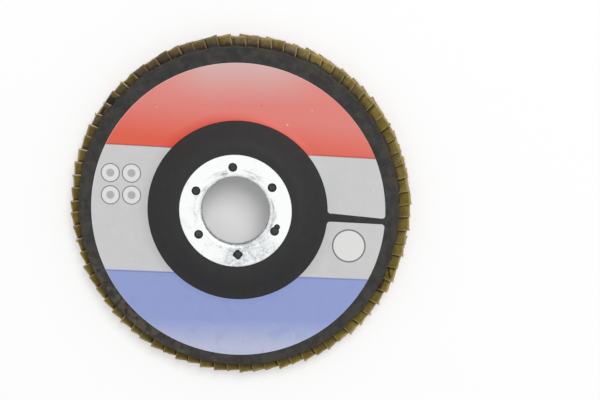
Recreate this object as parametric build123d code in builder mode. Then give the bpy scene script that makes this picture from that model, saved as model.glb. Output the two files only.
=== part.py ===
"""Flap disc for an angle grinder: 115 mm across, 22.23 mm bore, depressed centre.

The frame is in millimetres, with its origin at the centre of the bore, midway through the hub. Z runs
along the bore towards the grinder, Y points to the top of the label and X to its right. The flaps
hang below the plate with their grit facing -Z.
"""

import os
from math import asin, atan2, cos, degrees, radians, sin, sqrt, tan

from build123d import *

# Sizes of the whole disc.
disc_diameter = 115.0
bore_diameter = 22.23

# Centre ring: an eyelet drawn from one sheet, with a flange, a rolled lip, a collar and a spread edge.
ring_sheet = 0.5
ring_flange_width = 7.6
ring_lip_radius = 1.5
ring_spread_width = 4.0
ring_spread_radius = 0.8
ring_edge_bevel = 0.15
collar_clearance = 0.05

# Stakes: holes pierced through the flange, whose burrs are driven into the laminate.
stake_count = 6
stake_start_angle = 93.0
stake_inset = 2.0
stake_diameter = 3.0
stake_burr_wall = 0.25
stake_burr_depth = 0.7
stake_plug_rise = 0.2
stake_clearance = 0.03
square_stake = 3
square_stake_side = 2.8
square_stake_rounding = 0.8
second_strike_stake = 4
second_strike_diameter = 2.0
second_strike_offset = 1.64
second_strike_angle = 60.0

# Backing plate: pressed glass-fibre laminate of one thickness.
plate_wall = 2.6
plate_rim_bevel = 0.5
hub_rise = 7.0
hub_land = 3.8
hub_run = 7.5
hub_shoulder_radius = 5.0
hub_foot_radius = 8.0

# Label: a paper ring with a slit, a little off centre.
label_paper = 0.15
label_hub_gap = 0.25
label_rim_margin = 4.4
label_shift = (0.0, -0.9)
label_slit_angle = -3.8
label_slit_inner_width = 2.9
label_slit_outer_width = 1.85
label_corner_radius = 1.0

# Flaps and the resin bed that holds them.
flap_count = 79
flap_overhang = 3.7
flap_width = 16.5
flap_thickness = 0.9
flap_air = 0.05
flap_sink = 0.7
flap_setback = 1.45
bed_depth = 1.2
bed_foot_clearance = 0.4
bed_rim_margin = 0.5
bed_side_draft = 0.6
flaps_per_node = 2

# Radii, worked outwards from the bore.
disc_radius = disc_diameter / 2
bore_radius = bore_diameter / 2
ring_radius = bore_radius + ring_flange_width
spread_radius = bore_radius + ring_spread_width
stake_circle_radius = bore_radius + ring_lip_radius + stake_inset
plate_radius = disc_radius - flap_overhang
collar_radius = bore_radius + ring_sheet
plate_bore_radius = collar_radius + collar_clearance
lip_corner = ring_lip_radius - ring_sheet
spread_corner = ring_spread_radius - ring_sheet
shoulder_radius = ring_radius + hub_land
foot_radius = shoulder_radius + hub_run
hub_half_slope = atan2(hub_rise, hub_run) / 2
flat_radius = foot_radius + hub_foot_radius * tan(hub_half_slope)
label_inner_radius = foot_radius + label_hub_gap
label_outer_radius = plate_radius - label_rim_margin
bed_inner_radius = flat_radius + bed_foot_clearance
bed_outer_radius = plate_radius - bed_rim_margin
flap_inner_radius = bed_inner_radius + flap_setback

# Heights, worked from the middle of the hub's laminate.
hub_top = plate_wall / 2
hub_bottom = -plate_wall / 2
ring_top = hub_top + ring_sheet
spread_bottom = hub_bottom - ring_sheet
face_top = hub_top - hub_rise
face_bottom = face_top - plate_wall
bed_bottom = face_bottom - bed_depth

# A flap lies as flat as its neighbours let it: at its inner end it just clears the next one.
flap_pitch = 360 / flap_count
flap_step = flap_inner_radius * sin(radians(flap_pitch))
flap_lean = asin((flap_thickness + flap_air) / flap_step)
flap_drop = (flap_width * sin(flap_lean) + flap_thickness * cos(flap_lean)) / 2
flap_middle = bed_bottom + flap_sink - flap_drop
flap_half_span = flap_width * cos(flap_lean) / 2
flap_length = sqrt(disc_radius**2 - flap_half_span**2) - flap_inner_radius


def save(part, name):
    """Label a finished piece and write it as its own node."""
    part.label = name
    export_step(part, f"parts/{name}.step")


def section(corners):
    """A closed profile in the XZ plane from (radius, height, corner rounding) rows."""
    points = [(x, z) for x, z, _ in corners]
    roundings = [rounding for _, _, rounding in corners]
    with BuildSketch(Plane.XZ) as profile:
        with BuildLine():
            FilletPolyline(*points, radius=roundings, close=True)
        make_face()
    return profile.sketch


def plate_surface(height):
    """Shoulder and foot corners of the surface that runs `height` above the plate's top face."""
    step = height * tan(hub_half_slope)
    return [
        (shoulder_radius + step, hub_top + height, hub_shoulder_radius + height),
        (foot_radius + step, face_top + height, hub_foot_radius - height),
    ]


def stakes(height, growth):
    """Outlines of the pierced stakes in the plane at `height`, grown by `growth` all round."""
    with BuildSketch(Plane.XY.offset(height)) as outlines:
        for index in range(stake_count):
            turn = stake_start_angle + index * 360 / stake_count
            with Locations(Location((0, 0, 0), (0, 0, turn)) * Location((stake_circle_radius, 0, 0))):
                if index == square_stake:
                    side = square_stake_side + 2 * growth
                    RectangleRounded(side, side, square_stake_rounding + growth, rotation=45)
                else:
                    Circle(stake_diameter / 2 + growth)
                if index == second_strike_stake:
                    with PolarLocations(second_strike_offset, 1, second_strike_angle - turn):
                        Circle(second_strike_diameter / 2 + growth)
    return outlines.sketch


def flap_places(first, last):
    """Places of flaps `first` to `last` - 1: X runs out along the flap and Z is square to its cloth."""
    leaning = Location((flap_inner_radius, 0, flap_middle), (-degrees(flap_lean), 0, 0))
    return [Location((0, 0, 0), (0, 0, index * flap_pitch)) * leaning for index in range(first, last)]


os.makedirs("parts", exist_ok=True)

# Centre ring. One sheet runs in along the flange, rolls over the lip, down the collar and out again
# under the hub. The burrs of the stakes stand on the flange's underside.
ring_section = section([
    (ring_radius, ring_top - ring_edge_bevel, 0),
    (ring_radius - ring_edge_bevel, ring_top, 0),
    (bore_radius, ring_top, ring_lip_radius),
    (bore_radius, spread_bottom, ring_spread_radius),
    (spread_radius, spread_bottom, 0),
    (spread_radius, hub_bottom, 0),
    (collar_radius + spread_corner, hub_bottom, 0),
    (collar_radius, hub_bottom + spread_corner, 0),
    (collar_radius, hub_top - lip_corner, 0),
    (collar_radius + lip_corner, hub_top, 0),
    (ring_radius, hub_top, 0),
])
with BuildPart() as centre_ring:
    revolve(ring_section, axis=Axis.Z)
    extrude(stakes(hub_top, stake_burr_wall), amount=-stake_burr_depth)
    extrude(stakes(ring_top, 0), amount=-(ring_sheet + stake_burr_depth), mode=Mode.SUBTRACT)
save(centre_ring.part, "centre_ring")

# Backing plate. The hub's shoulder and foot keep the laminate's thickness round both bends. The bore's
# edges are bevelled to clear the ring's bends. Each stake leaves a groove round a plug of laminate.
top_shoulder, top_foot = plate_surface(0)
low_shoulder, low_foot = plate_surface(-plate_wall)
plate_section = section([
    (plate_bore_radius, hub_top - lip_corner, 0),
    (plate_bore_radius + lip_corner, hub_top, 0),
    top_shoulder,
    top_foot,
    (plate_radius - plate_rim_bevel, face_top, 0),
    (plate_radius, face_top - plate_rim_bevel, 0),
    (plate_radius, face_bottom + plate_rim_bevel, 0),
    (plate_radius - plate_rim_bevel, face_bottom, 0),
    low_foot,
    low_shoulder,
    (plate_bore_radius + spread_corner, hub_bottom, 0),
    (plate_bore_radius, hub_bottom + spread_corner, 0),
])
groove_depth = stake_burr_depth + stake_clearance
groove_outline = stakes(hub_top, stake_burr_wall + stake_clearance)
plug_outline = stakes(hub_top + stake_plug_rise, -stake_clearance)
with BuildPart() as backing_plate:
    revolve(plate_section, axis=Axis.Z)
    extrude(groove_outline, amount=-groove_depth, mode=Mode.SUBTRACT)
    extrude(plug_outline, amount=-(stake_plug_rise + groove_depth))
save(backing_plate.part, "backing_plate")

# Label. A skin of paper that follows the plate's face and the foot of the hub, cut to a split ring.
paper_section = section([
    (ring_radius, hub_top, 0),
    *plate_surface(0),
    (plate_radius, face_top, 0),
    (plate_radius, face_top + label_paper, 0),
    *reversed(plate_surface(label_paper)),
    (ring_radius, hub_top + label_paper, 0),
])
label_plane = Plane.XY.offset(ring_top).rotated((0, 0, label_slit_angle)).move(Location(label_shift))
with BuildSketch(label_plane) as label_outline:
    Circle(label_outer_radius)
    Circle(label_inner_radius, mode=Mode.SUBTRACT)
    with BuildLine():
        Polyline(
            (label_inner_radius - label_corner_radius, label_slit_inner_width / 2),
            (label_outer_radius + label_corner_radius, label_slit_outer_width / 2),
            (label_outer_radius + label_corner_radius, -label_slit_outer_width / 2),
            (label_inner_radius - label_corner_radius, -label_slit_inner_width / 2),
            close=True,
        )
    make_face(mode=Mode.SUBTRACT)
    fillet(label_outline.vertices(), label_corner_radius)
with BuildPart() as label:
    revolve(paper_section, axis=Axis.Z)
    extrude(label_outline.sketch, amount=face_top - ring_top, mode=Mode.INTERSECT)
save(label.part, "label")

# Resin bed. A ring of adhesive under the plate's face, with a slot where each flap's edge is sunk.
bed_section = section([
    (bed_inner_radius, face_bottom, 0),
    (bed_outer_radius, face_bottom, 0),
    (bed_outer_radius - bed_side_draft, bed_bottom, 0),
    (bed_inner_radius + bed_side_draft, bed_bottom, 0),
])
flap_align = (Align.MIN, Align.CENTER, Align.CENTER)
with BuildPart() as resin_bed:
    revolve(bed_section, axis=Axis.Z)
    with Locations(*flap_places(0, flap_count)):
        Box(flap_length, flap_width, flap_thickness, align=flap_align, mode=Mode.SUBTRACT)
save(resin_bed.part, "resin_bed")

# Flaps. Rectangles of abrasive cloth, each leaning on the next one round the disc. Neighbours share a
# node by twos, as separate solids.
for first in range(0, flap_count, flaps_per_node):
    last = min(first + flaps_per_node, flap_count)
    with BuildPart() as flaps:
        with Locations(*flap_places(first, last)):
            Box(flap_length, flap_width, flap_thickness, align=flap_align)
    save(flaps.part, f"flaps_{first // flaps_per_node + 1:02d}")

print(f"flap lean {degrees(flap_lean):.2f} deg, length {flap_length:.2f}, lowest {flap_middle - flap_drop:.2f}")
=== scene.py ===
import random
from math import asin, cos, hypot, pi, radians, sin, sqrt, tau

import bmesh
import bpy
from mathutils import Matrix, Vector, noise
from mathutils.bvhtree import BVHTree


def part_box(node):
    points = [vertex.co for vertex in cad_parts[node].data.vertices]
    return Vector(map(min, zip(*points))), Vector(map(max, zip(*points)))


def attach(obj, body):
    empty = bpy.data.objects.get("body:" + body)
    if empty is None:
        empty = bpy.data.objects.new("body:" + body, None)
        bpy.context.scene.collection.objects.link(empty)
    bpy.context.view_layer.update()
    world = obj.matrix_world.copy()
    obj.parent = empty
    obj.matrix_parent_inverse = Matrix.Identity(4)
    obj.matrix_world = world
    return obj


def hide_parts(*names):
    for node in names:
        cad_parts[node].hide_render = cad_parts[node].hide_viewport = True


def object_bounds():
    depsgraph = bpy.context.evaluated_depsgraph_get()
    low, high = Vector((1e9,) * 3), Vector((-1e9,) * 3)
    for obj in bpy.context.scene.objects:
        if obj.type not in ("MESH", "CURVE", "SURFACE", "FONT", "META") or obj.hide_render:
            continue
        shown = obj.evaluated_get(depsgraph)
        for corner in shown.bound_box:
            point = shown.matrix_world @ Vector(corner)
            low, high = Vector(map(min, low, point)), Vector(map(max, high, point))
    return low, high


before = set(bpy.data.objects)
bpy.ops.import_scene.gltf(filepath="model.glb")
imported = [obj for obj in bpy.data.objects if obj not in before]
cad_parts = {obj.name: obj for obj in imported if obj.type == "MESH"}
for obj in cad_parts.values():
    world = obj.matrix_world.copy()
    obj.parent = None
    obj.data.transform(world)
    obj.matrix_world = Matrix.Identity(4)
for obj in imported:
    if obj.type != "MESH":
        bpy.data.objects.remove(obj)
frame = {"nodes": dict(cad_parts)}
cad_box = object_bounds()
nodes = frame["nodes"]
mm = 0.001


# Centre ring. An eyelet drawn from thin steel sheet and plated with bright zinc. It is staked into
# the laminate at six places and spread under the hub. The CAD solid is its shape. Here it gets its
# plating, cloudy from handling, and greyer where the sheet was rolled over into the bore.
class Value:
    """One value of a shader, usable in a sum: each operator adds the Math node that it stands for."""

    def __init__(self, nodes, socket):
        self.nodes = nodes
        self.socket = socket

    def __add__(self, other):
        return self.nodes.sum("ADD", self, other)

    def __radd__(self, other):
        return self.nodes.sum("ADD", other, self)

    def __sub__(self, other):
        return self.nodes.sum("SUBTRACT", self, other)

    def __rsub__(self, other):
        return self.nodes.sum("SUBTRACT", other, self)

    def __mul__(self, other):
        return self.nodes.sum("MULTIPLY", self, other)

    def __rmul__(self, other):
        return self.nodes.sum("MULTIPLY", other, self)

    def __abs__(self):
        return self.nodes.sum("ABSOLUTE", self)

    def wave(self, pitch):
        """A sine of this length, from -1 to 1."""
        return self.nodes.sum("SINE", self * (tau / pitch))

    def least(self, other):
        return self.nodes.sum("MINIMUM", self, other)

    def most(self, other):
        return self.nodes.sum("MAXIMUM", self, other)

    def rise(self, low, high):
        """0 up to low and 1 from high on, with a straight slope between them."""
        settings = {"interpolation_type": "LINEAR", "clamp": True}
        return self.nodes.node("ShaderNodeMapRange", settings, {0: self, 1: low, 2: high})

    def band(self, middle, width, blur):
        """1 within half a width of the middle, fading to 0 over the blur."""
        return 1 - abs(self - middle).rise(width / 2, width / 2 + blur)


class Nodes:
    """The nodes of a material or of the surround."""

    def __init__(self, tree):
        self.tree = tree

    def node(self, kind, settings, inputs, output=0):
        """Any node: its settings first, then the values or links of its sockets."""
        made = self.tree.nodes.new(kind)
        for name, value in settings.items():
            setattr(made, name, value)
        for name, value in inputs.items():
            self.plug(made.inputs[name], value)
        return Value(self, made.outputs[output])

    def plug(self, socket, value):
        """Links a value of the shader to a socket, or sets a plain value on it."""
        if isinstance(value, Value):
            self.tree.links.new(value.socket, socket)
        else:
            socket.default_value = value

    def sum(self, operation, *values):
        return self.node("ShaderNodeMath", {"operation": operation}, dict(enumerate(values)))

    def vectors(self, operation, inputs, output=0):
        return self.node("ShaderNodeVectorMath", {"operation": operation}, inputs, output)


class Finish(Nodes):
    """A procedural material: a base shader, and the nodes that vary its colour, gloss and relief."""

    def __init__(self, name, constants):
        self.material = bpy.data.materials.new(name)
        self.material.use_nodes = True
        super().__init__(self.material.node_tree)
        self.shader = self.tree.nodes["Principled BSDF"]
        for socket, value in constants.items():
            self.shader.inputs[socket].default_value = value

    def place(self):
        """Where the surface is on the disc, in millimetres."""
        spot = self.node("ShaderNodeTexCoord", {}, {}, "Object")
        return self.vectors("SCALE", {0: spot, "Scale": 1 / mm})

    def axis(self, spot, letter):
        return self.node("ShaderNodeSeparateXYZ", {}, {0: spot}, letter)

    def reach(self, spot, centre=(0, 0)):
        """Distance from an upright line through the centre."""
        flat = self.stretch(spot, (1, 1, 0))
        return self.vectors("DISTANCE", {0: flat, 1: (*centre, 0)}, "Value")

    def heading(self, spot):
        """The way out from the bore's axis, of length 1."""
        return self.vectors("NORMALIZE", {0: self.stretch(spot, (1, 1, 0))})

    def toward(self, spot, degrees):
        """1 on this side of the axis, 0 square to it and -1 opposite."""
        way = (cos(radians(degrees)), sin(radians(degrees)), 0)
        return self.vectors("DOT_PRODUCT", {0: self.heading(spot), 1: way}, "Value")

    def round_place(self, spot, radius, length, width):
        """A place for blotches this long round the axis at this radius, and this wide outwards."""
        around = self.vectors("SCALE", {0: self.heading(spot), "Scale": radius / length})
        out = self.node("ShaderNodeCombineXYZ", {}, {"Z": self.reach(spot) * (1 / width)})
        return self.vectors("ADD", {0: around, 1: out})

    def stretch(self, spot, factors):
        """The place times a factor along each axis: a small factor draws a pattern out."""
        return self.vectors("MULTIPLY", {0: spot, 1: factors})

    def cloud(self, spot, size, detail=2.0, roughness=0.5):
        """Soft random blotches of this size, about 0.5 on average."""
        inputs = {"Vector": spot, "Scale": 1 / size, "Detail": detail, "Roughness": roughness}
        return self.node("ShaderNodeTexNoise", {}, inputs)

    def grains(self, spot, size):
        """Distance to the nearest of many scattered grains of this size, 0 at each grain's middle."""
        return self.node("ShaderNodeTexVoronoi", {}, {"Vector": spot, "Scale": 1 / size})

    def blend(self, share, first, second):
        """The first colour, giving way to the second as the share goes from 0 to 1."""
        return self.node("ShaderNodeMix", {"data_type": "RGBA"}, {0: share, 6: first, 7: second}, 2)

    def paint(self, colour, roughness, relief):
        """Feeds the shader. The relief is a height in millimetres."""
        self.plug(self.shader.inputs["Base Color"], colour)
        self.plug(self.shader.inputs["Roughness"], roughness)
        bump = self.node("ShaderNodeBump", {}, {"Strength": 1, "Distance": mm, "Height": relief})
        self.plug(self.shader.inputs["Normal"], bump)
        return self.material


def tint(red, green, blue):
    """A colour from the 0 to 255 values of a colour chart, as shaders take it."""
    parts = [part / 255 for part in (red, green, blue)]
    return (*[((part + 0.055) / 1.055) ** 2.4 if part > 0.04 else part / 12.92 for part in parts], 1)


def dress(piece, material):
    """Gives a piece of the CAD model this finish alone."""
    piece.data.materials.clear()
    piece.data.materials.append(material)


def zinc_plating():
    zinc = Finish("zinc_plating", {"Metallic": 1.0})
    spot = zinc.place()
    radius = zinc.reach(spot)
    cloud = zinc.cloud(spot, 4.0, 4, 0.6)
    spangle = zinc.cloud(spot, 0.9, 4, 0.7)
    streak = zinc.cloud(zinc.round_place(spot, radius=13, length=5.0, width=0.7), 1, 4, 0.65)
    lip = 1 - radius.rise(11.6, 12.9)
    by_lip = radius.band(13.0, 0.8, 1.1)
    rubbed = by_lip * streak.rise(0.48, 0.62) * cloud.rise(0.44, 0.56)
    smear = cloud.rise(0.54, 0.7) * spangle.rise(0.42, 0.62)
    nick = (1 - zinc.grains(spot, 1.9).rise(0.03, 0.08)) * cloud.rise(0.5, 0.6)
    colour = zinc.blend(smear * 0.8, tint(246, 247, 247), tint(198, 209, 214))
    bloom = zinc.toward(spot, 284).rise(0.74, 0.96) * cloud.rise(0.38, 0.56)
    bloom = bloom * (0.3 + 0.7 * spangle.rise(0.42, 0.58))
    colour = zinc.blend(bloom * 0.9, colour, tint(170, 178, 182))
    colour = zinc.blend(lip * (0.12 + 0.6 * spangle.rise(0.4, 0.62)), colour, tint(184, 190, 191))
    colour = zinc.blend(rubbed * 0.9, colour, tint(146, 156, 156))
    colour = zinc.blend(nick * 0.7, colour, tint(150, 152, 152))
    roughness = 0.2 + 0.14 * cloud + 0.14 * lip + 0.1 * rubbed
    relief = 0.005 * cloud + 0.002 * spangle + 0.003 * streak * by_lip
    return zinc.paint(colour, roughness, relief)


ring = nodes["centre_ring"]
dress(ring, zinc_plating())


# Backing plate. Glass cloth and black resin pressed into one dished laminate. Its face is matt and
# faintly mottled, browned with cloth dust near the flaps. Underneath, the weave of the glass shows
# through a glossy, uneven coat of resin.
plate_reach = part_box("backing_plate")[1].x / mm
hub_top = 1.3
stake_count = 6
stake_start_angle = 93
stake_circle_radius = 14.615
stake_radius = 1.5
second_strike = (13.84, -5.215, 1.0)
ply_pitch = 0.62
glass_pitch = 4.6


def plug_spots():
    """Middle and radius of each stake's plug, in millimetres."""
    turns = [radians(stake_start_angle + index * 360 / stake_count) for index in range(stake_count)]
    middles = [(stake_circle_radius * cos(turn), stake_circle_radius * sin(turn)) for turn in turns]
    return [(*middle, stake_radius) for middle in middles] + [second_strike]


def laminate():
    glass = Finish("black_laminate", {"Specular IOR Level": 0.22})
    spot = glass.place()
    radius = glass.reach(spot)
    height = glass.axis(spot, "Z")
    up = glass.axis(glass.node("ShaderNodeTexCoord", {}, {}, "Normal"), "Z")
    under = 1 - up.rise(-0.3, 0.0)
    side = 1 - abs(up).rise(0.3, 0.8)
    rim = radius.rise(33, 49)
    mottle = glass.cloud(spot, 2.6, 4, 0.65)
    fine = glass.cloud(spot, 0.35, 3, 0.6)
    smear = glass.cloud(glass.stretch(spot, (1, 1, 0)), 6.0, 4, 0.7)
    speck = (1 - glass.grains(spot, 1.7).rise(0.05, 0.16)) * fine.rise(0.45, 0.7)
    face = glass.blend(mottle.rise(0.3, 0.7) * (0.15 + 0.85 * rim), tint(44, 44, 44), tint(65, 64, 62))
    face = glass.blend(speck * (0.1 + 0.5 * rim), face, tint(104, 106, 100))
    face = glass.blend(rim * smear.rise(0.54, 0.4) * 0.5, face, tint(36, 37, 35))
    dust = radius.rise(plate_reach - 2.8, plate_reach) * smear.rise(0.47, 0.6)
    face = glass.blend(dust * 0.3, face, tint(92, 78, 44))
    soot = radius.rise(plate_reach - 1.3, plate_reach - 0.2) * mottle.rise(0.5, 0.62)
    face = glass.blend(soot * 0.8, face, tint(34, 29, 25))
    dirty = glass.toward(spot, 224).rise(0.84, 0.97) * radius.rise(49.9, 50.8)
    stain = glass.blend(glass.cloud(spot, 3.4, 2).rise(0.46, 0.54), tint(88, 92, 76), tint(86, 74, 66))
    face = glass.blend(dirty * glass.cloud(spot, 1.7, 3).rise(0.45, 0.58) * 0.8, face, stain)
    face = glass.blend(dirty * mottle.rise(0.56, 0.64), face, tint(34, 27, 26))
    rims = [glass.reach(spot, (x, y)) - size for x, y, size in plug_spots()]
    away = rims[0]
    for other in rims[1:]:
        away = away.least(other)
    proud = height.rise(hub_top + 0.04, hub_top + 0.1)
    plug = proud * (1 - away.rise(-0.75, -0.3))
    face = glass.blend(proud, face, tint(34, 35, 34))
    face = glass.blend(plug * fine.rise(0.4, 0.7), face, tint(86, 91, 88))
    ply = height.wave(ply_pitch).rise(-0.4, 0.6)
    cut = glass.blend(ply * (0.4 + 0.6 * fine), tint(36, 33, 30), tint(96, 88, 70))
    face = glass.blend(side * radius.rise(plate_reach - 0.6, plate_reach - 0.3), face, cut)
    resin = glass.blend(mottle.rise(0.55, 0.75), tint(20, 19, 19), tint(38, 35, 31))
    colour = glass.blend(under, face, resin)
    drift = 2.2 * mottle
    warp = (glass.axis(spot, "X") + drift).wave(glass_pitch)
    weft = (glass.axis(spot, "Y") - drift).wave(glass_pitch)
    weave = abs(warp * weft)
    bristle = glass.cloud(spot, 0.9, 4, 0.7)
    relief = 0.02 * fine + 0.03 * mottle + 0.02 * rim * weave + 0.04 * side * ply
    relief = relief + under * (0.1 * weave + 0.3 * mottle + 0.34 * bristle)
    roughness = 0.74 - 0.1 * mottle - under * (0.47 + 0.14 * fine)
    return glass.paint(colour, roughness, relief)


plate = nodes["backing_plate"]
dress(plate, laminate())


# Label. A split ring of coated paper glued to the plate, a little off centre. It is printed in three
# fields, the red fading to pink and the blue to a paler blue towards the rim. It holds a blank disc for
# the grit size and four small discs with a grey dot each.
label_middle = (0, -0.9)
label_outer = 49.4

# Printed discs: the middle, the radius and the width of the line round it, in mm.
grit_disc = (37.24, -12.48, 5.6, 0.42)
dot_middles = [(-42.8, 11.36), (-35.65, 11.26), (-42.88, 3.83), (-35.7, 3.82)]
dot_discs = [(*middle, 3.2, 0.25) for middle in dot_middles]


def print_on_paper():
    paper = Finish("printed_paper", {"Specular IOR Level": 0.45})
    spot = paper.place()
    x = paper.axis(spot, "X")
    y = paper.axis(spot, "Y")
    away = paper.reach(spot, label_middle)
    # Painted shade: the print is darker in the concave foot where the label bends up to the hub.
    foot_shade = 1 - away.rise(30.5, 34.0)
    smear = paper.cloud(spot, 5.0, 3)
    tooth = paper.cloud(spot, 0.22, 2)
    scuff = paper.cloud(paper.stretch(spot, (1, 0.12, 1)), 0.5, 3)
    red = paper.blend((y + 0.12 * x).rise(20.0, 32.0), tint(220, 92, 68), tint(221, 127, 118))
    glow = (y + smear * 2 - 1).rise(34.5, 47.5) * (1 - abs(x - 2).rise(12, 34))
    red = paper.blend(glow, red, tint(212, 173, 170))
    red = paper.blend(foot_shade * 0.75, red, tint(206, 64, 44))
    fade = (0 - y).rise(38.0, 47.5)
    blue = paper.blend(fade, tint(142, 156, 207), tint(181, 186, 214))
    blue = paper.blend(fade * scuff.rise(0.56, 0.7) * 0.3, blue, tint(208, 208, 220))
    blue = paper.blend(smear.rise(0.55, 0.7) * 0.25, blue, tint(130, 146, 200))
    grey = paper.blend(smear, tint(196, 197, 197), tint(206, 206, 205))
    grey = paper.blend(foot_shade * 0.35, grey, tint(176, 177, 180))
    # The edges of the red and blue fields drop a little to the right.
    above_red = y + 0.0459 * x - 19.13
    above_blue = y + 0.0243 * x + 22.9
    colour = paper.blend(above_red.rise(-0.06, 0.06), grey, red)
    colour = paper.blend(1 - above_blue.rise(-0.06, 0.06), colour, blue)
    colour = paper.blend(above_red.band(0, 0.3, 0.2) * 0.8, colour, tint(170, 62, 74))
    colour = paper.blend(above_blue.band(0, 0.3, 0.2) * 0.85, colour, tint(112, 122, 192))
    for *middle, size, line in [grit_disc, *dot_discs]:
        aside = paper.reach(spot, middle)
        inside = 1 - aside.rise(size - line, size - line + 0.08)
        colour = paper.blend(inside, colour, tint(223, 223, 222))
        colour = paper.blend(aside.band(size - line / 2, line, 0.08), colour, tint(112, 112, 112))
    for middle in dot_middles:
        dot = 1 - paper.reach(spot, middle).rise(1.2, 1.5)
        colour = paper.blend(dot, colour, tint(174, 174, 174))
    chip = (1 - paper.grains(spot, 7.0).rise(0.01, 0.05)) * paper.cloud(spot, 0.5, 1).rise(0.38, 0.5)
    colour = paper.blend(chip * 0.8, colour, tint(238, 236, 238))
    fleck = 1 - paper.grains(paper.stretch(spot, (1.3, 0.8, 1)), 11.0).rise(0.01, 0.03)
    colour = paper.blend(fleck * 0.6, colour, tint(96, 88, 104))
    cut_edge = away.rise(label_outer - 0.18, label_outer - 0.1)
    colour = paper.blend(cut_edge * 0.25, colour, tint(238, 236, 232))
    relief = 0.002 * tooth + 0.06 * smear + 0.05 * paper.cloud(spot, 1.6, 2)
    return paper.paint(colour, 0.42 + 0.1 * smear, relief)


label = nodes["label"]
dress(label, print_on_paper())


# Resin bed. Black adhesive run round under the plate's face, into which the flaps are pressed. It is
# a lumpy ring, with beads squeezed out at its inner and outer sides.
bed_low, bed_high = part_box("resin_bed")
bed_outer = bed_high.x / mm
bed_inner = 33.57
bed_top = bed_high.z / mm
bed_bottom = bed_low.z / mm
outer_bead_from = 50
inner_bead_to = 36


def turned(corners, steps):
    """A ring turned about the bore's axis from its section, given as radius and height in mm."""
    shape = bmesh.new()
    points = [shape.verts.new((radius * mm, 0, height * mm)) for radius, height in corners]
    edges = [shape.edges.new(pair) for pair in zip(points, points[1:] + points[:1])]
    bmesh.ops.spin(
        shape,
        geom=points + edges,
        cent=(0, 0, 0),
        axis=(0, 0, 1),
        angle=tau,
        steps=steps,
        use_merge=True,
    )
    bmesh.ops.remove_doubles(shape, verts=shape.verts, dist=1e-6)
    bmesh.ops.recalc_face_normals(shape, faces=shape.faces)
    return shape


def finished(name, shape, material, smooth=True):
    """The mesh made an object in its place, riding on the disc."""
    mesh = bpy.data.meshes.new(name)
    shape.to_mesh(mesh)
    shape.free()
    mesh.shade_smooth() if smooth else mesh.shade_flat()
    piece = bpy.data.objects.new(name, mesh)
    bpy.context.scene.collection.objects.link(piece)
    mesh.materials.append(material)
    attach(piece, "root")
    return piece


def black_resin():
    resin = Finish("black_resin", {"Specular IOR Level": 0.5})
    spot = resin.place()
    lump = resin.cloud(spot, 1.5, 4, 0.6)
    fine = resin.cloud(spot, 0.3, 2)
    colour = resin.blend(lump.rise(0.45, 0.75), tint(22, 19, 17), tint(52, 44, 35))
    return resin.paint(colour, 0.2 + 0.35 * fine, 0.25 * lump + 0.04 * fine)


bed_section = [
    (bed_inner + 0.1, bed_top),
    (bed_outer - 0.1, bed_top),
    (bed_outer, bed_top - 0.35),
    (bed_outer - 0.25, bed_top - 0.85),
    (bed_outer - 0.9, bed_bottom),
    (45, bed_bottom + 0.1),
    (bed_inner + 1.2, bed_bottom),
    (bed_inner + 0.3, bed_top - 0.85),
    (bed_inner, bed_top - 0.35),
]
bed_shape = turned(bed_section, steps=474)
for corner in bed_shape.verts:
    radius = hypot(corner.co.x, corner.co.y) / mm
    if corner.co.z > (bed_top - 0.1) * mm:
        continue
    lump = noise.noise(corner.co * 330) * 0.5 + noise.noise(corner.co * 900) * 0.35
    if radius > outer_bead_from:
        growth = 0.75 + lump * 1.9
    elif radius < inner_bead_to:
        growth = 0.05 - lump * 0.8
    else:
        growth = 0
    corner.co.x *= 1 + growth / radius
    corner.co.y *= 1 + growth / radius
bed = finished("resin_bead", bed_shape, black_resin())
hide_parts("resin_bed")


# Flaps. Rectangles sheared from coated cloth: olive cloth behind, red grit in front. Each is pressed
# into the resin along one long edge and leans on the next. Shears and handling leave their edges
# ragged, their reach uneven and a few outer ends lifted.
flap_count = 79
flap_width = 16.5
flap_thickness = 0.9
flap_air = 0.05
flap_sink = 0.7
flap_inner = bed_inner + 1.45
disc_radius = 57.5
flap_pitch = tau / flap_count
flap_lean = asin((flap_thickness + flap_air) / (flap_inner * sin(flap_pitch)))
flap_drop = (flap_width * sin(flap_lean) + flap_thickness * cos(flap_lean)) / 2
flap_middle = bed_bottom + flap_sink - flap_drop
flap_length = sqrt(disc_radius**2 - (flap_width * cos(flap_lean) / 2) ** 2) - flap_inner
bound_length = bed_outer - 1.5 - flap_inner
covered_length = 17
tuft_width = 0.9
thread_pitch = 0.9
wave_seed = 79

# Dark marks on the cloth: the flap, both ends in mm along and across it, and half the width.
dark_marks = [
    (74, (19.4, -8.2), (19.7, -2.9), 0.42),
    (75, (21.0, -7.7), (18.5, -3.0), 0.4),
    (32, (20.5, -6.9), (20.5, -3.6), 1.6),
    (33, (21.1, -7.2), (21.2, -4.0), 0.5),
]

# Flaps with a torn corner and with a lifted outer end, each with its mm, and flaps with a tuft.
torn = {33: 0.7, 34: 0.4}
lifted = {74: 0.8, 75: 0.9, 12: 0.6, 49: 0.5}
tufted = {3, 8, 17, 31, 33, 34, 35, 37, 39, 44, 51, 66, 68, 70, 71, 72, 73, 75, 77}


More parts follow.
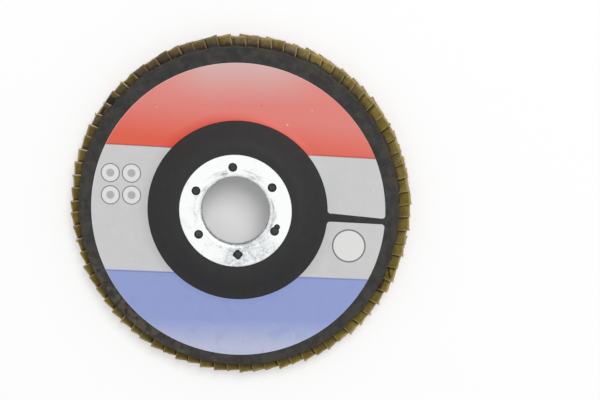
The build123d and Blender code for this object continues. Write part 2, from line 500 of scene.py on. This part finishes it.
def coated_cloth():
    """Grit where the weave's depth is 0, cloth where it is 1, and the cut core between them."""
    cloth = Finish("abrasive_cloth", {"Specular IOR Level": 0.35})
    weave = cloth.node("ShaderNodeAttribute", {"attribute_name": "weave"}, {}, "Vector")
    shade = cloth.node("ShaderNodeAttribute", {"attribute_name": "shade"}, {}, "Vector")
    shade_and_tone = cloth.axis(shade, "X")
    taupe = cloth.axis(shade, "Y")
    along = cloth.axis(weave, "X")
    across = cloth.axis(weave, "Y")
    depth = cloth.axis(weave, "Z")
    number = cloth.axis(shade, "Z") * flap_count
    frayed = cloth.node("ShaderNodeAttribute", {"attribute_name": "frayed"}, {}, "Fac")
    apart = cloth.vectors("SCALE", {0: shade, "Scale": 977.0})
    flat = cloth.vectors("ADD", {0: weave, 1: apart})
    patch = cloth.cloud(flat, 2.2, 3, 0.6)
    fine = cloth.cloud(flat, 0.3, 2)
    threads = abs(along.wave(thread_pitch) * across.wave(thread_pitch))
    hue = cloth.cloud(flat, 1.4, 3, 0.7)
    olive = cloth.blend(patch.rise(0.34, 0.66), tint(114, 95, 14), tint(158, 138, 54))
    olive = cloth.blend(hue.rise(0.5, 0.58) * 0.6, olive, tint(112, 114, 26))
    brown = cloth.blend(patch.rise(0.3, 0.7), tint(118, 100, 70), tint(152, 134, 102))
    back = cloth.blend(taupe, olive, brown)
    back = cloth.blend(hue.rise(0.47, 0.39) * 0.5, back, tint(122, 86, 44))
    back = cloth.blend(threads * 0.25, back, tint(168, 150, 80))
    # Each flap's painted shade by its place round the disc, together with its random tone, darkens its
    # cloth here and its grit and cut edges below.
    dark = cloth.blend(taupe, tint(84, 69, 16), tint(66, 56, 46))
    back = cloth.blend(shade_and_tone * 0.9, back, dark)
    next_edge = (along + flap_inner) * (sin(flap_pitch) * cos(flap_lean)) - flap_width / 2
    # Painted shade along the line where the next flap's raised edge lies over this one.
    back = cloth.blend((next_edge - across).band(0.0, 0.25, 0.45) * 0.7, back, tint(46, 34, 16))
    from_side = (across + flap_width / 2).rise(0.05, 0.22)
    from_end = (flap_length - 0.3 - along).rise(-0.1, 0.3)
    margin = 1 - from_side.least(from_end)
    bared = margin * (1 - 0.6 * taupe) * fine.rise(0.3, 0.5) * (0.75 - 0.4 * shade_and_tone)
    back = cloth.blend(bared, back, tint(200, 182, 128))
    # Darker towards the plate's rim: partly a resin stain in the cloth, partly painted shade under the
    # rim, stronger where the cloth is taupe.
    resin_stain_and_shade = 1 - (along + 1.2 * patch - 0.6).rise(bound_length + 1.4, bound_length + 4.6)
    back = cloth.blend(resin_stain_and_shade * (0.54 + 0.36 * taupe), back, tint(40, 32, 24))
    shaded = cloth.toward(cloth.place(), 105).rise(0.3, 0.95)
    hollow = 1 - (along + 1.4 * patch - 0.7).rise(bound_length + 2.2, bound_length + 3.2)
    back = cloth.blend(shaded * hollow * 0.7, back, tint(34, 27, 20))
    # Each dark mark is a short line painted dark on its flap's cloth.
    for marked_flap, start, end, width in dark_marks:
        run = Vector(end) - Vector(start)
        middle = (Vector(end) + Vector(start)) / 2
        way = run.normalized()
        far = abs((along - middle.x) * way.x + (across - middle.y) * way.y) * (1 / run.length)
        wide = abs((along - middle.x) * way.y - (across - middle.y) * way.x) * (0.5 / width)
        dark_mark = 1 - (far.most(wide) + 0.8 * hue - 0.4).rise(0.34, 0.52)
        dark_mark = dark_mark * (number - marked_flap).band(0, 0.3, 0.5)
        back = cloth.blend(dark_mark * 0.9, back, tint(36, 28, 20))
    grain = cloth.grains(flat, 0.3)
    grit = cloth.blend(grain.rise(0.1, 0.6), tint(194, 56, 48), tint(132, 30, 30))
    grit = cloth.blend(patch.rise(0.52, 0.8) * 0.4, grit, tint(206, 84, 74))
    grit = cloth.blend(shade_and_tone * 0.35, grit, tint(138, 34, 30))
    flexed = cloth.cloud(cloth.stretch(flat, (1, 0.12, 1)), 1.6, 2)
    crack = flexed.band(0.5, 0.0, 0.014) * patch.rise(0.44, 0.6)
    grit = cloth.blend(crack * 0.55, grit, tint(212, 128, 110))
    # Painted shade on the grit beside the neighbouring flap's lower edge.
    grit = cloth.blend((next_edge + across).band(0, 0.3, 0.7) * 0.6, grit, tint(74, 16, 16))
    trimmed = 1 - across.rise(0.15 - flap_width / 2, 0.35 - flap_width / 2)
    grit = cloth.blend(trimmed * 0.75, grit, tint(104, 70, 44))
    caked = 1 - (along + 1.4 * patch).rise(0.9, 2.4)
    grit = cloth.blend(caked * 0.8, grit, tint(66, 44, 32))
    core = cloth.blend(fine.rise(0.35, 0.6), tint(146, 122, 74), tint(212, 190, 142))
    core = cloth.blend(shade_and_tone * 0.75, core, tint(116, 97, 56))
    core = cloth.blend(frayed * fine.rise(0.3, 0.5) * 0.85, core, tint(234, 228, 206))
    core = cloth.blend(across.rise(0, 5) * 0.4, core, tint(206, 128, 96))
    core = cloth.blend(caked * 0.7, core, tint(84, 66, 44))
    core = cloth.blend(shade_and_tone * taupe * (1 - 0.7 * frayed) * 0.85, core, tint(88, 72, 50))
    in_cloth = depth.rise(0.1, 0.2)
    colour = cloth.blend(in_cloth, grit, core)
    colour = cloth.blend(depth.rise(0.84, 0.94), colour, back)
    cloth_relief = 0.06 * threads + 0.04 * fine
    grit_relief = 0.05 * (1 - grain) + 0.04 * fine
    relief = in_cloth * cloth_relief + (1 - in_cloth) * grit_relief
    return cloth.paint(colour, 0.85 - 0.3 * (1 - in_cloth), relief)


def cut_thread():
    fibre = Finish("cut_thread", {"Roughness": 0.8})
    spot = fibre.place()
    clump = fibre.cloud(spot, 1.2, 2)
    colour = fibre.blend(clump.rise(0.4, 0.62), tint(150, 130, 82), tint(228, 217, 188))
    colour = fibre.blend((1 - fibre.reach(spot).rise(34.5, 36.5)) * 0.6, colour, tint(92, 76, 50))
    return fibre.paint(colour, 0.8, 0.01 * clump)


def pointed(middle, aim):
    """The place of a thread drawn along Z: at this middle, and turned to this aim."""
    return Matrix.Translation(middle) @ aim.to_track_quat("Z", "X").to_matrix().to_4x4()


def fringe(shape, chance, start, end, outward, length, per_mm, thickness):
    """Frayed threads of up to this length on a cut edge, pointing outward more or less."""
    run = end - start
    count = int(run.length * per_mm)
    for step in range(count):
        root = start + run * ((step + chance.random()) / count)
        root.z += chance.uniform(-0.12, 0.38)
        lean = Vector((chance.gauss(0, 0.4), chance.gauss(0, 0.4), chance.gauss(0, 0.35)))
        aim = (outward + lean).normalized()
        reach = length * chance.uniform(0.3, 1)
        place = pointed(root + aim * (reach / 2 - 0.05), aim)
        bmesh.ops.create_cone(
            shape,
            cap_ends=True,
            segments=3,
            radius1=thickness / 2,
            radius2=thickness / 5,
            depth=reach,
            matrix=place,
        )


def past_resin(corner):
    """0 as far as the resin holds a flap, rising to 1 at its outer end."""
    return max((corner.co.x - bound_length) / (flap_length - bound_length), 0)


def down_lean(corner):
    """0 at a flap's upper long edge and 1 at its lower one."""
    return corner.co.y / flap_width + 0.5


def flap_shape(index, chance):
    """One flap in millimetres, X out along it, Y down its lean, Z square to its cloth."""
    shape = bmesh.new()
    bmesh.ops.create_grid(shape, x_segments=24, y_segments=14, size=0.5)
    bmesh.ops.scale(shape, vec=(flap_length, flap_width, 1), verts=shape.verts)
    bmesh.ops.translate(shape, vec=(flap_length / 2, 0, -flap_thickness / 2), verts=shape.verts)
    seed = Vector((index * 7.3, index * 3.1, 0))
    shear = chance.uniform(-0.005, 0.035)
    for corner in shape.verts:
        out = past_resin(corner)
        down = down_lean(corner)
        spot = corner.co.copy()
        corner.co.x -= spot.y * shear * out
        corner.co.x -= torn.get(index, 0) * out * max(1 - down / 0.4, 0)
        if corner.is_boundary:
            broad = noise.noise_vector(spot * 0.4 + seed) * 0.2
            narrow = noise.noise_vector(spot * 1.3 - seed) * 0.16
            wander = broad + narrow
            corner.co.x += wander.x
            corner.co.y += wander.y
    bmesh.ops.solidify(shape, geom=shape.faces[:], thickness=-flap_thickness)
    bmesh.ops.recalc_face_normals(shape, faces=shape.faces)
    return shape


coated = coated_cloth()
loose_thread = cut_thread()
floor_height = cad_box[0].z

# With a seed the waves of the cut edges come out the same each time.
noise.seed_set(wave_seed)
for index in range(flap_count):
    chance = random.Random(index)
    shape = flap_shape(index, chance)
    turn = index * flap_pitch
    weave = shape.verts.layers.float_vector.new("weave")
    shade = shape.verts.layers.float_vector.new("shade")
    frayed = shape.verts.layers.float.new("frayed")
    bearing = (turn * 180 / pi - 8) % 360
    # Painted shade: the cloth is darker away from the lamp at the label's upper right and darker still
    # at its left. It is also darker at the label's upper left, and each flap's tone differs at random.
    darker_upper_left = max(1 - abs(bearing - 122) / 44, 0)
    left_shade = max(1 - abs(bearing - 180) / 30, 0)
    shade_and_tone = 0.38 + 0.24 * cos(radians(bearing - 250)) + 0.72 * darker_upper_left + 0.22 * left_shade
    shade_and_tone = shade_and_tone + chance.uniform(-0.12, 0.14)
    shade_and_tone = min(max(shade_and_tone, 0), 1)
    if 62 < bearing < 150:
        taupe = chance.uniform(0.4, 1)
    elif bearing < 62:
        taupe = chance.uniform(0, 0.5)
    else:
        taupe = chance.uniform(0, 0.25)
    fraying = 1.0 if index in tufted else 0.15
    for corner in shape.verts:
        corner[weave] = (corner.co.x, corner.co.y, 1.0 if corner.co.z > 0 else 0.0)
        corner[shade] = (shade_and_tone, taupe, index / flap_count)
        shown = max(corner.co.x - covered_length, 0)
        corner[frayed] = fraying * shown / (flap_length - covered_length)
    cloth_faces = len(shape.faces)
    low = -flap_width / 2
    high = flap_width / 2
    inner_low = Vector((0, low, 0))
    inner_high = Vector((0, high, 0))
    shown_low = Vector((covered_length, low, 0))
    outer_low = Vector((flap_length, low, 0))
    outer_high = Vector((flap_length, high, 0))
    tuft_end = Vector((flap_length, low + tuft_width, 0))
    # Each cut edge: its ends, the way out, and its threads' length, number per mm and thickness.
    cut_edges = [
        (outer_low, outer_high, (1, 0, 0), 0.45, 3.0, 0.13),
        (inner_high, outer_high, (0, 1, 0), 0.3, 1.6, 0.1),
        (shown_low, outer_low, (0, -0.6, 1), 0.35, 3.2, 0.14),
        (inner_low, inner_high, (-1, 0, 0), 1.0, 2.6, 0.1),
    ]
    if index in tufted:
        cut_edges.append((outer_low, tuft_end, (0.8, -0.5, 0.4), 0.9, 16, 0.2))
    for start, end, outward, length, per_mm, thickness in cut_edges:
        fringe(shape, chance, start, end, Vector(outward), length, per_mm, thickness)
    shape.faces.ensure_lookup_table()
    for face in shape.faces[cloth_faces:]:
        face.material_index = 1
    short = 0.3 + 0.3 * cos(radians(bearing - 190))
    shift = Matrix.Translation((chance.uniform(-0.3, 0.25) - short, chance.uniform(-0.15, 0.15), 0))
    skew = Matrix.Rotation(radians(chance.uniform(-0.8, 0.8)), 4, "Z")
    spring = chance.uniform(-0.65, -0.1) + lifted.get(index, 0)
    for corner in shape.verts:
        corner.co.z += spring * past_resin(corner) * max(1 - down_lean(corner), 0) ** 4
    seat = Matrix.Translation((flap_inner, 0, flap_middle)) @ Matrix.Rotation(-flap_lean, 4, "X")
    place = Matrix.Scale(mm, 4) @ Matrix.Rotation(turn, 4, "Z") @ seat @ shift @ skew
    bmesh.ops.transform(shape, matrix=place, verts=shape.verts)
    for corner in shape.verts:
        corner.co.z = max(corner.co.z, floor_height)
    flap = finished(f"flap_{index + 1:02d}", shape, coated, smooth=False)
    flap.data.materials.append(loose_thread)
    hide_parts(f"flaps_{index // 2 + 1:02d}")


# Stray threads. Yarn pulled from the flaps' cloth as it was cut, caught in the resin of the recess
# under the hub before it set. Most are short hairs by the flaps' inner ends, and three are long.
strand_count = 170
long_count = 3
recess_inner = 17
recess_outer = 33.4
stride = 0.45


def strand(shape, path, thickness):
    """A thread drawn through the points of its path."""
    aim = path[1] - path[0]
    place = pointed(path[0], aim)
    start = bmesh.ops.create_circle(shape, segments=5, radius=thickness / 2, matrix=place)["verts"]
    rim = list(dict.fromkeys(edge for corner in start for edge in corner.link_edges))
    for before, point in zip(path, path[1:]):
        grown = bmesh.ops.extrude_edge_only(shape, edges=rim)["geom"]
        corners = [part for part in grown if isinstance(part, bmesh.types.BMVert)]
        edges = [part for part in grown if isinstance(part, bmesh.types.BMEdge)]
        rim = [edge for edge in edges if set(edge.verts) <= set(corners)]
        bmesh.ops.translate(shape, vec=point - before, verts=corners)
        turn = aim.rotation_difference(point - before).to_matrix()
        bmesh.ops.rotate(shape, cent=point, matrix=turn, verts=corners)
        aim = point - before


recess_shape = bmesh.new()
recess_shape.from_mesh(plate.data)
recess = BVHTree.FromBMesh(recess_shape)
recess_shape.free()
thread_shape = bmesh.new()
chance = random.Random(5)
for index in range(strand_count):
    long = index < long_count
    bearing = chance.uniform(0, tau)
    distance = chance.uniform(27, 33) if long else chance.triangular(21, recess_outer, 33)
    x = distance * cos(bearing)
    y = distance * sin(bearing)
    heading = bearing + chance.choice((-1, 1)) * chance.uniform(0.7, 2.2)
    thickness = 0.2 if long else chance.uniform(0.09, 0.15)
    bend = chance.gauss(0, 0.03 if long else 0.2)
    path = []
    for step in range(44 if long else chance.randint(3, 10)):
        found, facing, _, _ = recess.ray_cast(Vector((x, y, -20)) * mm, Vector((0, 0, 1)))
        if found is None or not recess_inner <= hypot(x, y) <= recess_outer:
            break
        path.append(found + facing * thickness * 0.4 * mm)
        heading += bend + chance.gauss(0, 0.05 if long else 0.1)
        x += stride * cos(heading)
        y += stride * sin(heading)
    if len(path) > 2:
        strand(thread_shape, path, thickness * mm)
bmesh.ops.holes_fill(thread_shape, edges=thread_shape.edges, sides=5)
bmesh.ops.recalc_face_normals(thread_shape, faces=thread_shape.faces)
pale_thread = Finish("pale_thread", {"Roughness": 0.7})
thread_clump = pale_thread.cloud(pale_thread.place(), 4.0, 2)
thread_colour = pale_thread.blend(
    thread_clump.rise(0.42, 0.6), tint(120, 112, 92), tint(216, 212, 200)
)
thread_finish = pale_thread.paint(thread_colour, 0.7, 0.01 * thread_clump)
strays = finished("stray_threads", thread_shape, thread_finish)


# Studio. A pale floor under the disc, a plain white surround, one broad lamp above the label's upper
# right and the camera above. The floor is seen only from above.
floor_gap = 0.02 * mm
floor_shape = bmesh.new()
bmesh.ops.create_grid(floor_shape, x_segments=1, y_segments=1, size=3)
bmesh.ops.translate(floor_shape, vec=(0, 0, floor_height - floor_gap), verts=floor_shape.verts)
floor_mesh = bpy.data.meshes.new("floor")
floor_shape.to_mesh(floor_mesh)
floor_shape.free()
floor = bpy.data.objects.new("floor", floor_mesh)
bpy.context.scene.collection.objects.link(floor)
floor_finish = Finish("pale_floor", {"Specular IOR Level": 0.0, "Roughness": 1.0})
floor_finish.plug(floor_finish.shader.inputs["Base Color"], tint(255, 255, 255))
to_camera = floor_finish.node("ShaderNodeLightPath", {}, {}, "Is Camera Ray")
white = floor_finish.node("ShaderNodeEmission", {}, {"Strength": 1.0})
far_off = floor_finish.reach(floor_finish.place()).rise(20, 80)
matt = Value(floor_finish, floor_finish.shader.outputs[0])
glow = to_camera * (0.15 + 0.45 * far_off)
floor_cover = floor_finish.node("ShaderNodeMixShader", {}, {0: glow, 1: matt, 2: white})
seen_below = floor_finish.node("ShaderNodeNewGeometry", {}, {}, "Backfacing")
clear = floor_finish.node("ShaderNodeBsdfTransparent", {}, {})
floor_cover = floor_finish.node("ShaderNodeMixShader", {}, {0: seen_below, 1: floor_cover, 2: clear})
floor_finish.plug(floor_finish.tree.nodes["Material Output"].inputs["Surface"], floor_cover)
floor_mesh.materials.append(floor_finish.material)

world = bpy.data.worlds.new("surround")
bpy.context.scene.world = world
world.use_nodes = True
surround = Nodes(world.node_tree)
sky = world.node_tree.nodes["Background"]
sky_light = 0.55
seen = surround.node("ShaderNodeLightPath", {}, {}, "Is Camera Ray")
for ray in ("Is Glossy Ray", "Is Transmission Ray"):
    seen = seen.most(surround.node("ShaderNodeLightPath", {}, {}, ray))
surround.plug(sky.inputs["Strength"], sky_light + (1 - sky_light) * seen)
surround.plug(sky.inputs["Color"], (1, 1, 1, 1))

lamp_data = bpy.data.lights.new("softbox", "AREA")
lamp_data.size = 1.2
lamp_data.energy = 36
lamp = bpy.data.objects.new("softbox", lamp_data)
lamp_way = Vector((0.265, 0.459, 0.848)).normalized()
lamp_distance = 2.6
lamp.location = lamp_way * lamp_distance
lamp.rotation_mode = "QUATERNION"
lamp.rotation_quaternion = lamp_way.to_track_quat("Z", "Y")
bpy.context.scene.collection.objects.link(lamp)

camera_data = bpy.data.cameras.new("camera")
camera_data.sensor_width = 36
camera_data.lens = 125.74
camera_data.clip_start = 0.01
camera = bpy.data.objects.new("camera", camera_data)
camera_place = Vector((73.83, 109.31, 682.50)) * mm
camera_back = Vector((0.07579, 0.15250, 0.98539)).normalized()
camera_right = Vector((0, 1, 0)).cross(camera_back).normalized()
camera_up = camera_back.cross(camera_right)
camera_turn = Matrix((camera_right, camera_up, camera_back)).transposed()
camera.matrix_world = Matrix.Translation(camera_place) @ camera_turn.to_4x4()
bpy.context.scene.collection.objects.link(camera)
bpy.context.scene.camera = camera
bpy.context.scene.view_settings.view_transform = "Standard"
